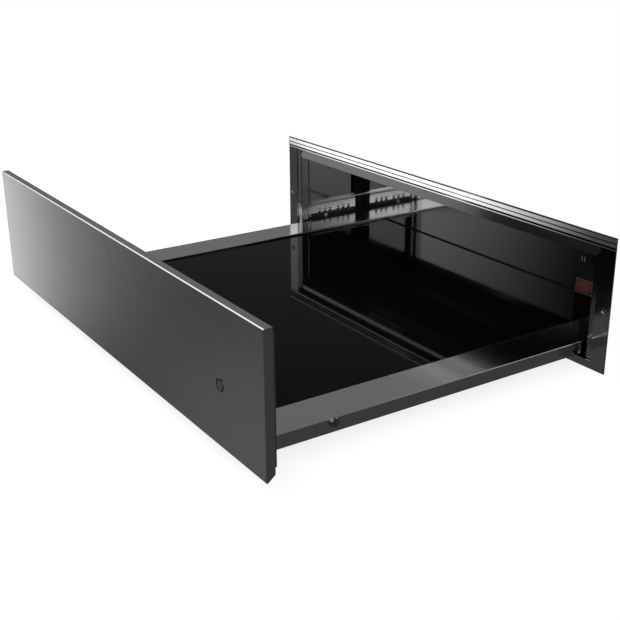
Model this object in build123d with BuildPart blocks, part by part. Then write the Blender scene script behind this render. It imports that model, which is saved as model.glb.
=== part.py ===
from build123d import *
import math
import os

# Built-in warming drawer, 60 cm wide, drawn with its drawer fully open.
# X runs across the front, Y into the cabinet and Z up, in millimetres.
# The origin is the middle of the niche's front floor edge: the carcase stands on Z = 0
# and the back of its front flange seats against the cabinet at Y = 0.

os.makedirs("parts", exist_ok=True)

# ---------------------------------------------------------------- driving dimensions
fit_gap = 0.3                # clearance between pieces that slide past each other
sheet = 1.0                  # carcase sheet
rail_sheet = 1.2             # drawer rims and runner channels

flange_side = 18.5           # flange's reach past the opening line, at each side
flange_over_top = 2.4        # flange's reach above the carcase's top
flange_thick = 1.2
front_overlap = 31.5         # front panel's reach past the opening line, at each side
opening_foot = 8.0           # height of the flange's bottom strip
trim_height = 12.4           # ribbed strip along the flange's top
trim_base = 0.3
trim_lip = 1.1               # thin rib along the trim's foot
trim_lip_proud = 0.6
trim_proud = 1.8             # feet of the two broad ribs in front of the flange
trim_lower_foot = 3.5        # and their places above the trim's foot
trim_lower_rib = 2.55
trim_upper_foot = 7.8
trim_upper_rib = 3.2
trim_tilt = 24.0             # degrees that the ribs lean back
cabinet_hole_radius = 2.2
cabinet_hole_inset = 7.4     # from the flange's outer edge
cabinet_hole_height = 63.8
countersink_radius = 2.8

inner_frame_setback = 2.0    # inner edge, behind the flange's back face
inner_frame_edge = 8.0       # how far that edge stands inside the opening line, at the sides
inner_frame_tilt = 10.0      # degrees that the front face leans back from that edge
inner_frame_sheet = 1.2
inner_frame_return = 9.0     # depth of the fold behind the inner edge, at the sides
inner_frame_end = 18.2       # back of the frame, behind the flange's back face
inner_frame_side = 2.0       # how far its body stands inside the opening line
inner_frame_lip = 5.0        # and how far its rear lip does
inner_frame_lip_depth = 2.9
inner_frame_lip_sheet = 1.5
inner_frame_top = 12.0       # how far its top comes down from the opening's top edge
inner_frame_rise = 1.4       # and how far it goes up behind the flange

cavity_clear = 3.0           # carcase's sides stand this far outside the opening line
rear_space = 38.9            # behind the closed drawer, to the carcase's back
carcase_height = 136.0

front_width = 595.0
front_height = 129.0
front_foot = 12.0            # front panel's lower edge above the carcase's underside
front_depth = 8.0
front_skin = 0.8
front_bevel_rise = 6.5       # slope of the finger edge under the front panel
front_edge = 0.8             # chamfer round the front face
push_gap = 5.5               # gap behind the closed front, mostly taken up when it is pressed

backing_thick = 3.5
backing_inset_top = 5.4
backing_inset_foot = 9.8
backing_inset_side = 3.0
gasket_width = 6.0
gasket_thick = 1.6

tray_length = 486.8          # back of the front panel to the mirror-finished rear panel
tray_side_gap = 11.8         # drawer's side, inside the opening line
rim_width = 42.9
rim_lip = 2.3                # rim's height over the glass
rim_edge = 0.9
pan_thick = 1.0
insulation_thick = 4.8
heater_thick = 1.2
glass_thick = 4.0
glass_gap_side = 0.8
glass_gap_rear = 3.0
seal_below_glass = 0.4

rear_panel_thick = 1.0
rear_panel_top = 110.0
rear_panel_return = 9.0
wiper_thick = 1.8            # strips that close the gap beside the rear panel
wiper_depth = 13.4
wiper_clear = 1.0            # above the runner channel
wiper_lip = 3.0              # sealing lip behind the rear panel's face
wiper_lip_gap = 0.4          # from the lip to the carcase's side

runner_height = 39.2         # channel that carries the drawer on each side
runner_depth = 4.5
runner_centre = 27.4         # height of the channel's middle above the underside
runner_lip = 2.2
runner_start = 4.0           # behind the flange's back face
runner_end_gap = 20.0        # channel ends this far from the carcase's back
bar_centre = 23.7            # height of the guide bar's middle
bar_height = 15.0            # guide bar on the drawer, between the two ball rows
bar_front_margin = 25.4      # guide bar beyond its ball rows, in front
bar_rear_margin = 12.3       # and behind
bar_leg_setback = 12.0       # leg to the drawer's side starts behind the bar's front end
bar_leg_thick = 4.0
bar_edge = 0.6
ball_radius = 2.3
ball_pitch = 8.8
ball_group = 3
ball_group_gap = 13.8
cage_thick = 0.8
cage_upper = 12.3            # cage strip over the guide bar
cage_lower = 6.9             # and under it
cage_upper_window = 6.5
cage_lower_window = 4.9
stop_depth = 3.7             # runner's end stop
end_block_depth = 12.6
end_block_inset = 1.5        # inside the channel's top and foot

lens_radius = 6.2
lens_seat_radius = 4.8       # hole in the front panel
lens_clear_radius = 4.7      # the lens itself
lens_from_edge = 70.9        # in from the front panel's right edge
lens_height = 57.4           # above the front panel's lower edge
screw_head_radius = 2.6
bumper_radius = 4.8
bumper_setback = 92.3        # behind the front panel's face
bumper_height = 21.4

control_from_wall = 109.0    # middle of the control plate, in from the right wall
control_foot = 23.0
control_top = 98.0
control_width = 26.0
control_plate_thick = 1.5
control_depth = 16.0         # housing behind the rear panel's face
control_shoulder = 0.8       # rear panel's cut-out is this much inside the plate's edge
rocker_width = 21.0
rocker_height = 12.5
rocker_thick = 4.8
rocker_height_place = 31.5   # height of its pivot above the underside
rocker_pivot_depth = 1.3     # pivot behind the rear panel's face
rocker_proud = 2.3           # in front of the rear panel's face
rocker_tilt = 7.0            # degrees either side of level
rocker_pin = 1.0
dial_radius = 11.0
dial_thick = 3.4
dial_ridge_width = 4.6
dial_ridge_rise = 1.8
dial_height = 71.5           # centre above the underside
dial_shaft = 3.0
dial_shaft_length = 9.0
pin_fit = 0.06               # radial clearance of pins and shafts in their bores

plunger_radius = 5.0
plunger_travel = 4.0
latch_width = 34.0
latch_height = 22.0
latch_depth = 24.0
latch_bottom = 14.0

box_width = 96.0             # terminal box on the carcase's back
box_height = 52.0
box_depth = 20.0
box_wall = 2.0
box_from_wall = 76.0         # middle of the box, in from the left wall
box_z = 70.0
gland_radius = 6.5
gland_bore = 3.6
gland_length = 18.0

# ---------------------------------------------------------------- places that follow
half_front = front_width / 2
half_opening = half_front - front_overlap
half_flange = half_opening + flange_side
half_cavity = half_opening + cavity_clear
channel_inside = half_cavity - runner_depth
rear_panel_half_width = channel_inside - fit_gap
tray_half_width = half_opening - tray_side_gap

ball_row_length = 2 * (ball_group - 1) * ball_pitch + ball_group_gap
bar_length = bar_front_margin + ball_row_length + bar_rear_margin
bar_start = runner_start + stop_depth + fit_gap
end_block_start = bar_start + bar_length

y_flange = -flange_thick
y_rear = end_block_start + end_block_depth
y_tray = y_rear - tray_length
y_skin = y_tray - backing_thick
y_front = y_skin - front_depth
travel = y_flange - push_gap - y_tray
closed_rear = y_rear + rear_panel_thick + travel
carcase_depth = closed_rear + rear_space

flange_height = carcase_height + flange_over_top
opening_top = flange_height - trim_height
frame_foot = opening_top - inner_frame_top
frame_top = opening_top + inner_frame_rise
front_top = front_foot + front_height
wall_outside = half_cavity + sheet

pan_top = front_foot + pan_thick
insulation_top = pan_top + insulation_thick
heater_top = insulation_top + heater_thick
glass_top = heater_top + glass_thick
rim_top = glass_top + rim_lip
rim_inside = tray_half_width - rim_width
glass_half = rim_inside - glass_gap_side
glass_end = y_rear - glass_gap_rear

runner_top = runner_centre + runner_height / 2
runner_foot = runner_centre - runner_height / 2
runner_end = carcase_depth - runner_end_gap
ball_rise = bar_height / 2 + ball_radius + fit_gap
ledge_rise = ball_rise + ball_radius + fit_gap
ball_x = half_cavity - rail_sheet - fit_gap - ball_radius
bar_outside = ball_x + ball_radius
bar_inside = ball_x - ball_radius
bar_foot = bar_centre - bar_height / 2
cage_x = rear_panel_half_width - cage_thick / 2
ball_row_start = bar_start + bar_front_margin

lens_x = half_front - lens_from_edge
lens_z = front_foot + lens_height
box_x = box_from_wall - half_opening
control_x = half_opening - control_from_wall
control_middle = (control_foot + control_top) / 2
housing_width = control_width - 2 * control_shoulder
housing_height = control_top - control_foot - 2 * control_shoulder

# ---------------------------------------------------------------- the fixed carcase
with BuildPart() as carcase_base:
    with BuildSketch(Plane.XY):
        with Locations((0, carcase_depth / 2)):
            Rectangle(2 * wall_outside, carcase_depth)
    extrude(amount=sheet)
carcase_base.part.label = "carcase_base"
export_step(carcase_base.part, "parts/carcase_base.step")

for side, hand in ((-1, "left"), (1, "right")):
    with BuildPart() as carcase_side:
        with BuildSketch(Plane.YZ.offset(side * (half_cavity + sheet / 2))):
            with Locations((carcase_depth / 2, carcase_height / 2)):
                Rectangle(carcase_depth, carcase_height - 2 * sheet)
        extrude(amount=sheet / 2, both=True)
    carcase_side.part.label = f"carcase_side_{hand}"
    export_step(carcase_side.part, f"parts/carcase_side_{hand}.step")

with BuildPart() as carcase_top:
    with BuildSketch(Plane.XY.offset(carcase_height - sheet)):
        with Locations((0, carcase_depth / 2)):
            Rectangle(2 * wall_outside, carcase_depth)
    extrude(amount=sheet)
carcase_top.part.label = "carcase_top"
export_step(carcase_top.part, "parts/carcase_top.step")

vent_slot_length = 26.0
vent_slot_width = 4.0
vent_slot_pitch = 9.0
vent_slot_count = 7
vent_from_wall = 116.0
vent_z = 70.0
lead_hole_radius = 6.0
with BuildPart() as carcase_back:
    with BuildSketch(Plane.XZ.offset(-carcase_depth)):
        with Locations((0, carcase_height / 2)):
            Rectangle(2 * half_cavity, carcase_height - 2 * sheet)
        with Locations((half_opening - vent_from_wall, vent_z)):
            with GridLocations(0, vent_slot_pitch, 1, vent_slot_count):
                SlotOverall(vent_slot_length, vent_slot_width, mode=Mode.SUBTRACT)
        with Locations((box_x, box_z)):
            Circle(lead_hole_radius, mode=Mode.SUBTRACT)
    extrude(amount=sheet)
carcase_back.part.label = "carcase_back"
export_step(carcase_back.part, "parts/carcase_back.step")

# Front flange: a flat frame round the opening, screwed to the cabinet at both ends.
cabinet_hole_x = half_flange - cabinet_hole_inset
with BuildPart() as front_flange:
    with BuildSketch(Plane.XZ):
        with Locations((0, flange_height / 2)):
            Rectangle(2 * half_flange, flange_height)
        with Locations((0, (opening_foot + opening_top) / 2)):
            Rectangle(2 * half_opening, opening_top - opening_foot, mode=Mode.SUBTRACT)
    extrude(amount=flange_thick)
    with Locations(Plane.XZ.offset(flange_thick)):
        with Locations(*[(side * cabinet_hole_x, cabinet_hole_height) for side in (-1, 1)]):
            CounterSinkHole(cabinet_hole_radius, countersink_radius)
front_flange.part.label = "front_flange"
export_step(front_flange.part, "parts/front_flange.step")

# Polished trim: a thin rib and two broad ones on a flat base, all leaning back.
trim_ribs = (
    (opening_top, trim_lip, trim_lip_proud),
    (opening_top + trim_lower_foot, trim_lower_rib, trim_proud),
    (opening_top + trim_upper_foot, trim_upper_rib, trim_proud),
)
rib_slope = math.tan(math.radians(trim_tilt))
with BuildPart() as flange_trim:
    with BuildSketch(Plane.YZ.offset(-half_flange)):
        with Locations((y_flange - trim_base / 2, opening_top + trim_height / 2)):
            Rectangle(trim_base, trim_height)
        for foot, height, proud in trim_ribs:
            with BuildLine():
                Polyline(
                    (y_flange, foot),
                    (y_flange - proud, foot),
                    (y_flange - proud + height * rib_slope, foot + height),
                    (y_flange, foot + height),
                    close=True,
                )
            make_face()
    extrude(amount=2 * half_flange)
flange_trim.part.label = "flange_trim"
export_step(flange_trim.part, "parts/flange_trim.step")

# Inner frame: a surround behind the flange with a bevelled face, a fold behind the face's
# inner edge at each side, and a rear lip. It is open at the bottom, and behind its face it
# is cut back to a thin strip of its lip where the runner channels come through.
frame_lip_start = inner_frame_end - inner_frame_lip_depth
frame_face_end = runner_start - fit_gap
frame_edge = half_opening - inner_frame_edge
frame_strip_outside = half_opening - inner_frame_lip + inner_frame_lip_sheet
frame_slope = math.tan(math.radians(inner_frame_tilt))
frame_top_lean = inner_frame_setback + (frame_top - frame_foot) * frame_slope
frame_side_lean = inner_frame_setback + inner_frame_edge * frame_slope
with BuildPart() as inner_frame:
    for start, end, inset in (
        (frame_face_end, frame_lip_start, inner_frame_side),
        (frame_lip_start, inner_frame_end, inner_frame_lip),
    ):
        with BuildSketch(Plane.XZ.offset(-start)):
            with Locations((0, (sheet + frame_top) / 2)):
                Rectangle(2 * half_cavity, frame_top - sheet)
            with Locations((0, (sheet + frame_foot) / 2)):
                Rectangle(2 * (half_opening - inset), frame_foot - sheet, mode=Mode.SUBTRACT)
        extrude(amount=start - end)
    for side in (-1, 1):
        with Locations((side * (frame_strip_outside + half_cavity) / 2, inner_frame_setback, sheet)):
            Box(
                half_cavity - frame_strip_outside,
                inner_frame_end - inner_frame_setback,
                runner_top + fit_gap - sheet,
                align=(Align.CENTER, Align.MIN, Align.MIN),
                mode=Mode.SUBTRACT,
            )
    with BuildSketch(Plane.XZ.offset(-inner_frame_setback)):
        with Locations((0, (sheet + frame_top) / 2)):
            Rectangle(2 * half_opening, frame_top - sheet)
        with Locations((0, (sheet + frame_foot) / 2)):
            Rectangle(2 * frame_edge, frame_foot - sheet, mode=Mode.SUBTRACT)
    extrude(amount=inner_frame_setback - frame_face_end)
    for side in (-1, 1):
        with Locations((side * (frame_edge + inner_frame_sheet / 2), inner_frame_setback, sheet)):
            Box(
                inner_frame_sheet,
                inner_frame_return,
                frame_foot - sheet,
                align=(Align.CENTER, Align.MIN, Align.MIN),
            )
        with BuildSketch(Plane.XY.offset(sheet)):
            with BuildLine():
                Polyline(
                    (side * frame_edge, inner_frame_setback),
                    (side * half_opening, frame_side_lean),
                    (side * half_opening, inner_frame_setback),
                    close=True,
                )
            make_face()
        extrude(amount=frame_top - sheet, mode=Mode.SUBTRACT)
    with BuildSketch(Plane.YZ.offset(-half_cavity)):
        with BuildLine():
            Polyline(
                (inner_frame_setback, frame_top),
                (frame_top_lean, frame_top),
                (inner_frame_setback, frame_foot),
                close=True,
            )
        make_face()
    extrude(amount=2 * half_cavity, mode=Mode.SUBTRACT)
inner_frame.part.label = "inner_frame"
export_step(inner_frame.part, "parts/inner_frame.step")

# Rivets that hold the carcase's sheets together, seen on its sides.
rivet_radius = 2.4
rivet_head = 0.9
rivet_rows = 4
rivet_inset = 6.8            # from the carcase's top and foot
rivet_spread = carcase_height - 2 * rivet_inset
with BuildPart() as carcase_rivets:
    for side in (-1, 1):
        with BuildSketch(Plane.YZ.offset(side * wall_outside)):
            with Locations((carcase_depth / 2, carcase_height / 2)):
                with GridLocations(carcase_depth / rivet_rows, rivet_spread, rivet_rows, 2):
                    Circle(rivet_radius)
        extrude(amount=side * rivet_head)
carcase_rivets.part.label = "carcase_rivets"
export_step(carcase_rivets.part, "parts/carcase_rivets.step")

# Runner channels: rolled steel, with a ledge over and under the ball rows.
channel_length = runner_end - runner_start
for side, hand in ((-1, "left"), (1, "right")):
    with BuildPart() as runner_channel:
        with BuildSketch(Plane.XZ.offset(-runner_start)):
            web_x = side * (half_cavity - rail_sheet / 2)
            arm_x = side * (half_cavity - runner_depth / 2)
            lip_x = side * (channel_inside + rail_sheet / 2)
            with Locations((web_x, runner_centre)):
                Rectangle(rail_sheet, runner_height)
            for way in (-1, 1):
                edge = runner_centre + way * runner_height / 2
                with Locations((arm_x, edge - way * rail_sheet / 2)):
                    Rectangle(runner_depth, rail_sheet)
                with Locations((lip_x, edge - way * runner_lip / 2)):
                    Rectangle(rail_sheet, runner_lip)
                with Locations((arm_x, bar_centre + way * (ledge_rise + rail_sheet / 2))):
                    Rectangle(runner_depth, rail_sheet)
        extrude(amount=-channel_length)
    runner_channel.part.label = f"runner_channel_{hand}"
    export_step(runner_channel.part, f"parts/runner_channel_{hand}.step")

    with BuildPart() as runner_stop:
        stop_width = runner_depth - rail_sheet
        with Locations((side * (channel_inside + stop_width / 2), runner_start, bar_centre)):
            Box(stop_width, stop_depth, bar_height, align=(Align.CENTER, Align.MIN, Align.CENTER))
        fillet(runner_stop.edges().filter_by(Axis.X), stop_depth / 4)
    runner_stop.part.label = f"runner_stop_{hand}"
    export_step(runner_stop.part, f"parts/runner_stop_{hand}.step")

# Push-push latch on the carcase's floor, behind the closed drawer.
striker_thick = 1.5
latch_wall = 3.0             # closed end of the plunger's bore
latch_edge = 1.5
plunger_edge = 0.8
plunger_tip = closed_rear + striker_thick + fit_gap
latch_front = carcase_depth - sheet - latch_depth
plunger_z = latch_bottom + latch_height / 2
plunger_length = latch_front + latch_depth - plunger_travel - latch_wall - plunger_tip
with BuildPart() as latch_body:
    with Locations((0, latch_front, sheet)):
        Box(
            latch_width,
            latch_depth,
            latch_bottom + latch_height - sheet,
            align=(Align.CENTER, Align.MIN, Align.MIN),
        )
    fillet(latch_body.edges().filter_by(Axis.Y), latch_edge)
    with Locations(Plane(origin=(0, latch_front, plunger_z), z_dir=(0, -1, 0))):
        Hole(plunger_radius + pin_fit, depth=latch_depth - latch_wall)
latch_body.part.label = "latch_body"
export_step(latch_body.part, "parts/latch_body.step")

with BuildPart() as latch_plunger:
    with BuildSketch(Plane.XZ.offset(-plunger_tip)):
        with Locations((0, plunger_z)):
            Circle(plunger_radius)
    extrude(amount=-plunger_length)
    chamfer(latch_plunger.edges().sort_by(Axis.Y)[0], plunger_edge)
latch_plunger.part.label = "latch_plunger"
export_step(latch_plunger.part, "parts/latch_plunger.step")

# Rubber buffers that the drawer's rear panel meets if it is slammed.
buffer_radius = 6.0
buffer_from_wall = 66.0
buffer_z = 96.0
buffer_tip_radius = 3.8
buffer_length = rear_space - sheet - push_gap
with BuildPart() as rear_buffers:
    for side in (-1, 1):
        buffer_seat = (side * (half_opening - buffer_from_wall), carcase_depth - sheet, buffer_z)
        with Locations(Plane(origin=buffer_seat, z_dir=(0, -1, 0))):
            Cone(
                buffer_radius,
                buffer_tip_radius,
                buffer_length,
                align=(Align.CENTER, Align.CENTER, Align.MIN),
            )
rear_buffers.part.label = "rear_buffers"
export_step(rear_buffers.part, "parts/rear_buffers.step")

# Terminal box on the back, with its cover, terminal block and cable gland.
box_corner = 4.0
cover_edge = 0.6
gland_thread_radius = 4.9
gland_neck_radius = 5.3
gland_taper = 3.0
gland_y = carcase_depth + box_depth / 2
gland_face = box_x - box_width / 2
with BuildPart() as terminal_box:
    with Locations((box_x, carcase_depth, box_z)):
        Box(box_width, box_depth - box_wall, box_height, align=(Align.CENTER, Align.MIN, Align.CENTER))
    fillet(terminal_box.edges().filter_by(Axis.Y), box_corner)
    with BuildSketch(Plane.XZ.offset(-(carcase_depth + box_depth - box_wall))):
        with Locations((box_x, box_z)):
            RectangleRounded(
                box_width - 2 * box_wall,
                box_height - 2 * box_wall,
                box_corner - box_wall,
            )
    extrude(amount=box_depth - 2 * box_wall, mode=Mode.SUBTRACT)
    with Locations(Plane(origin=(gland_face, gland_y, box_z), z_dir=(-1, 0, 0))):
        Hole(gland_thread_radius + fit_gap / 3, depth=2 * box_wall)
    with Locations(Plane(origin=(box_x, carcase_depth, box_z), z_dir=(0, -1, 0))):
        Hole(lead_hole_radius, depth=2 * box_wall)
terminal_box.part.label = "terminal_box"
export_step(terminal_box.part, "parts/terminal_box.step")

with BuildPart() as terminal_cover:
    with BuildSketch(Plane.XZ.offset(-(carcase_depth + box_depth - box_wall))):
        with Locations((box_x, box_z)):
            RectangleRounded(box_width, box_height, box_corner)
    extrude(amount=-box_wall)
    chamfer(terminal_cover.faces().sort_by(Axis.Y)[-1].edges(), cover_edge)
terminal_cover.part.label = "terminal_cover"
export_step(terminal_cover.part, "parts/terminal_cover.step")

terminal_ways = 3
terminal_pitch = 11.0
terminal_height = 18.0
terminal_room = 4.0          # between the block and the cover
terminal_offset = 14.0       # block's middle from the box's middle
terminal_hole_radius = 2.0
terminal_depth = box_depth - 2 * box_wall - terminal_room
terminal_x = box_x + terminal_offset
terminal_y = carcase_depth + box_wall
with BuildPart() as terminal_block:
    with Locations((terminal_x, terminal_y, box_z)):
        Box(
            terminal_ways * terminal_pitch,
            terminal_depth,
            terminal_height,
            align=(Align.CENTER, Align.MIN, Align.CENTER),
        )
    with Locations(Plane(origin=(terminal_x, terminal_y + terminal_depth, box_z), z_dir=(0, 1, 0))):
        with GridLocations(terminal_pitch, terminal_height / 2, terminal_ways, 2):
            Hole(terminal_hole_radius, depth=terminal_depth / 2)
terminal_block.part.label = "terminal_block"
export_step(terminal_block.part, "parts/terminal_block.step")

gland_plane = Plane(origin=(gland_face, gland_y, box_z), z_dir=(-1, 0, 0))
with BuildPart() as cable_gland:
    with BuildSketch(gland_plane):
        RegularPolygon(gland_radius, 6)
    extrude(amount=gland_length / 3)
    with BuildSketch(gland_plane):
        Circle(gland_neck_radius)
    extrude(amount=gland_length - box_wall, taper=gland_taper)
    with BuildSketch(gland_plane):
        Circle(gland_thread_radius)
    extrude(amount=-box_wall)
    with Locations(gland_plane.offset(gland_length - box_wall)):
        Hole(gland_bore, depth=gland_length)
cable_gland.part.label = "cable_gland"
export_step(cable_gland.part, "parts/cable_gland.step")

# ---------------------------------------------------------------- the drawer's front
fold_room = 1.2              # inside the skin's lower fold
with BuildPart() as front_skin_panel:
    with BuildSketch(Plane.YZ.offset(-half_front)):
        with BuildLine():
            Polyline(
                (y_front, front_foot),
                (y_front, front_top),
                (y_skin, front_top),
                (y_skin, front_foot + front_bevel_rise),
                close=True,
            )
        make_face()
    extrude(amount=front_width)
    chamfer(front_skin_panel.faces().sort_by(Axis.Y)[0].edges(), front_edge)
    with BuildSketch(Plane.YZ.offset(-(half_front - front_skin))):
        with BuildLine():
            Polyline(
                (y_front + front_skin, front_foot + 2 * front_skin),
                (y_front + front_skin, front_top - front_skin),
                (y_skin, front_top - front_skin),
                (y_skin, front_foot + front_bevel_rise + fold_room),
                close=True,
            )
        make_face()
    extrude(amount=front_width - 2 * front_skin, mode=Mode.SUBTRACT)
    with Locations(Plane(origin=(lens_x, y_front, lens_z), z_dir=(0, -1, 0))):
        Hole(lens_seat_radius, depth=2 * front_skin)
front_skin_panel.part.label = "front_panel"
export_step(front_skin_panel.part, "parts/front_panel.step")

board_gap = 0.4
board_top = front_top - front_skin - board_gap
board_foot = front_foot + front_bevel_rise + fold_room + board_gap
lamp_pocket = 16.0
with BuildPart() as front_board:
    with BuildSketch(Plane.XZ.offset(-(y_front + front_skin + board_gap))):
        with Locations((0, (board_top + board_foot) / 2)):
            Rectangle(front_width - 2 * front_skin - 2 * board_gap, board_top - board_foot)
        with Locations((lens_x, lens_z)):
            Rectangle(lamp_pocket, lamp_pocket, mode=Mode.SUBTRACT)
    extrude(amount=-(front_depth - front_skin - board_gap))
front_board.part.label = "front_insulation"
export_step(front_board.part, "parts/front_insulation.step")

backing_foot = front_foot + backing_inset_foot
backing_top = front_top - backing_inset_top
backing_width = front_width - 2 * backing_inset_side
backing_corner = 2.0
backing_edge = 0.6
with BuildPart() as front_backing:
    with BuildSketch(Plane.XZ.offset(-y_skin)):
        with Locations((0, (backing_foot + backing_top) / 2)):
            RectangleRounded(backing_width, backing_top - backing_foot, backing_corner)
    extrude(amount=-backing_thick)
    chamfer(front_backing.faces().sort_by(Axis.Y)[-1].edges(), backing_edge)
front_backing.part.label = "front_backing"
export_step(front_backing.part, "parts/front_backing.step")

gasket_outset = 5.0          # outer edge, outside the opening line
gasket_over_rim = 2.0
gasket_half = half_opening + gasket_outset
gasket_foot = rim_top + gasket_over_rim
with BuildPart() as front_gasket:
    with BuildSketch(Plane.XZ.offset(-y_tray)):
        with BuildLine():
            Polyline(
                (-gasket_half, gasket_foot),
                (-gasket_half, opening_top),
                (gasket_half, opening_top),
                (gasket_half, gasket_foot),
                (gasket_half - gasket_width, gasket_foot),
                (gasket_half - gasket_width, opening_top - gasket_width),
                (-gasket_half + gasket_width, opening_top - gasket_width),
                (-gasket_half + gasket_width, gasket_foot),
                close=True,
            )
        make_face()
    extrude(amount=-gasket_thick)
    chamfer(front_gasket.faces().sort_by(Axis.Y)[-1].edges(), gasket_thick / 3)
front_gasket.part.label = "front_gasket"
export_step(front_gasket.part, "parts/front_gasket.step")

lens_proud = 0.5
lens_edge = 0.3
lens_tail = 1.2              # behind the front's skin
with BuildPart() as lens_ring:
    with BuildSketch(Plane.XZ.offset(-y_front)):
        with Locations((lens_x, lens_z)):
            Circle(lens_radius)
            Circle(lens_clear_radius, mode=Mode.SUBTRACT)
    extrude(amount=lens_proud)
    chamfer(lens_ring.faces().sort_by(Axis.Y)[0].edges(), lens_edge)
lens_ring.part.label = "lens_ring"
export_step(lens_ring.part, "parts/lens_ring.step")

with BuildPart() as indicator_lens:
    with BuildSketch(Plane.XZ.offset(-(y_front - lens_proud / 2))):
        with Locations((lens_x, lens_z)):
            Circle(lens_clear_radius)
    extrude(amount=-(front_skin + lens_tail))
    fillet(indicator_lens.edges().sort_by(Axis.Y)[0], lens_edge)
indicator_lens.part.label = "indicator_lens"
export_step(indicator_lens.part, "parts/indicator_lens.step")

lamp_board_side = 14.0
lamp_board_thick = 1.2
lamp_radius = 2.5
lamp_foot = y_skin - lamp_board_thick
lamp_start = y_front - lens_proud / 2 + front_skin + lens_tail
with BuildPart() as lamp_board:
    with Locations((lens_x, y_skin, lens_z)):
        Box(
            lamp_board_side,
            lamp_board_thick,
            lamp_board_side,
            align=(Align.CENTER, Align.MAX, Align.CENTER),
        )
    with BuildSketch(Plane.XZ.offset(-lamp_foot)):
        with Locations((lens_x, lens_z)):
            Circle(lamp_radius)
    extrude(amount=lamp_foot - lamp_start - fit_gap)
lamp_board.part.label = "lamp_board"
export_step(lamp_board.part, "parts/lamp_board.step")

# ---------------------------------------------------------------- the drawer's tray
tray_middle = (y_tray + y_rear) / 2
with BuildPart() as tray_pan:
    with BuildSketch(Plane.XY.offset(front_foot)):
        with Locations((0, tray_middle)):
            Rectangle(2 * (tray_half_width - rail_sheet), tray_length)
    extrude(amount=pan_thick)
tray_pan.part.label = "tray_pan"
export_step(tray_pan.part, "parts/tray_pan.step")

with BuildPart() as insulation_sheet:
    with BuildSketch(Plane.XY.offset(pan_top)):
        with Locations((0, tray_middle)):
            Rectangle(2 * rim_inside, tray_length)
    extrude(amount=insulation_thick)
insulation_sheet.part.label = "insulation_sheet"
export_step(insulation_sheet.part, "parts/insulation_sheet.step")

heater_border = 30.0
heater_corner = 12.0
with BuildPart() as heating_mat:
    with BuildSketch(Plane.XY.offset(insulation_top)):
        with Locations((0, tray_middle)):
            RectangleRounded(
                2 * (rim_inside - heater_border),
                tray_length - 2 * heater_border,
                heater_corner,
            )
    extrude(amount=heater_thick)
heating_mat.part.label = "heating_mat"
export_step(heating_mat.part, "parts/heating_mat.step")

glass_corner = 3.0
glass_edge = 0.4
glass_start = y_tray + glass_gap_side
with BuildPart() as glass_plate:
    with BuildSketch(Plane.XY.offset(heater_top)):
        with Locations((0, (glass_start + glass_end) / 2)):
            RectangleRounded(2 * glass_half, glass_end - glass_start, glass_corner)
    extrude(amount=glass_thick)
    chamfer(glass_plate.faces().sort_by(Axis.Z)[-1].edges(), glass_edge)
glass_plate.part.label = "glass_plate"
export_step(glass_plate.part, "parts/glass_plate.step")

with BuildPart() as glass_seal:
    with BuildSketch(Plane.XY.offset(heater_top)):
        with Locations((0, tray_middle)):
            Rectangle(2 * rim_inside, tray_length)
        with Locations((0, (glass_start + glass_end) / 2)):
            RectangleRounded(
                2 * glass_half,
                glass_end - glass_start,
                glass_corner,
                mode=Mode.SUBTRACT,
            )
    extrude(amount=glass_thick - seal_below_glass)
glass_seal.part.label = "glass_seal"
export_step(glass_seal.part, "parts/glass_seal.step")

rim_middle = tray_half_width - rim_width / 2
rim_underside = rim_top - rail_sheet
for side, hand in ((-1, "left"), (1, "right")):
    with BuildPart() as side_rim:
        with BuildSketch(Plane.XZ.offset(-y_tray)):
            with Locations((side * rim_middle, (front_foot + rim_top) / 2)):
                Rectangle(rim_width, rim_top - front_foot)
            with Locations((side * rim_middle, (front_foot + rim_underside) / 2)):
                Rectangle(rim_width - 2 * rail_sheet, rim_underside - front_foot, mode=Mode.SUBTRACT)
            with Locations((side * (rim_inside + rail_sheet / 2), (front_foot + pan_top) / 2)):
                Rectangle(rail_sheet, pan_thick, mode=Mode.SUBTRACT)
        extrude(amount=-tray_length)
        fillet(side_rim.faces().sort_by(Axis.Z)[-1].edges().filter_by(Axis.Y), rim_edge)
    side_rim.part.label = f"side_rim_{hand}"
    export_step(side_rim.part, f"parts/side_rim_{hand}.step")

# Cross-recessed bumper screw on the outside of each rim.
bumper_y = y_front + bumper_setback
bumper_head = 2.6
recess_length = 5.2
recess_width = 1.1
bumper_dome = 1.5
with BuildPart() as bumper_screws:
    for side in (-1, 1):
        axis_plane = Plane(origin=(side * tray_half_width, bumper_y, bumper_height), z_dir=(side, 0, 0))
        with BuildSketch(axis_plane):
            Circle(bumper_radius)
        extrude(amount=bumper_head)
        head = bumper_screws.faces().sort_by(Axis.X)[-1 if side > 0 else 0]
        fillet(head.edges(), bumper_dome)
        with BuildSketch(axis_plane.offset(bumper_head)):
            Rectangle(recess_length, recess_width)
            Rectangle(recess_width, recess_length)
        extrude(amount=-bumper_head / 2, mode=Mode.SUBTRACT)
bumper_screws.part.label = "bumper_screws"
export_step(bumper_screws.part, "parts/bumper_screws.step")

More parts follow.
